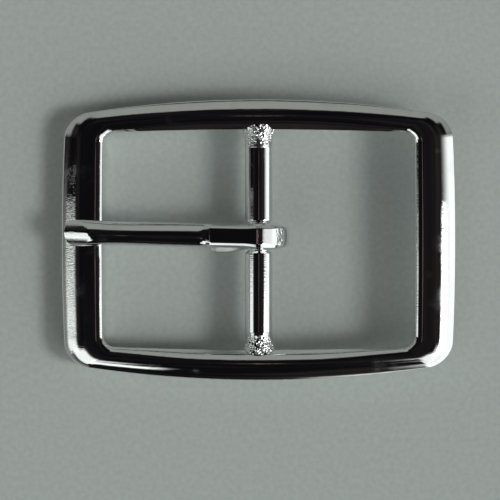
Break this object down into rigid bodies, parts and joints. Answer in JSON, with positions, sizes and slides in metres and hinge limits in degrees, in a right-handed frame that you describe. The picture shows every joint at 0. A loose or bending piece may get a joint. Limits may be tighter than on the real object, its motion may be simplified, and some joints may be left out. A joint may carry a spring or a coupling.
{
  "type": "belt buckle",
  "caption": "Rounded rectangular centre-bar buckle in polished chrome: an arched cast rim, a round cross bar and a swinging tongue, for a 30 mm strap.",
  "frame": {"origin": "middle of the footprint, on the plane that the flat backs of the short rails lie on", "axes": "+X along the strap and away from the tongue's tip, +Y along the centre bar, +Z out of the front"},
  "size_m": [0.0548, 0.0388, 0.0074],
  "materials": {
    "frame": "mirror polish with fine scuffs",
    "bar": "mirror polish",
    "filler": "plated over grainy filler metal",
    "tongue": "mirror polish, rough at the bend"
  },
  "bodies": {
    "buckle": {"frame": "frame", "centre_bar": "bar", "upper_bar_fillet": "filler", "lower_bar_fillet": "filler"},
    "prong": {"tongue": "tongue"}
  },
  "joints": [
    {"name": "tongue_pivot", "type": "hinge", "parent": "buckle", "child": "prong", "pos_m": [0, 0.0005, 0.0032], "axis": [0, 1, 0], "range_deg": [0, 165]}
  ]
}
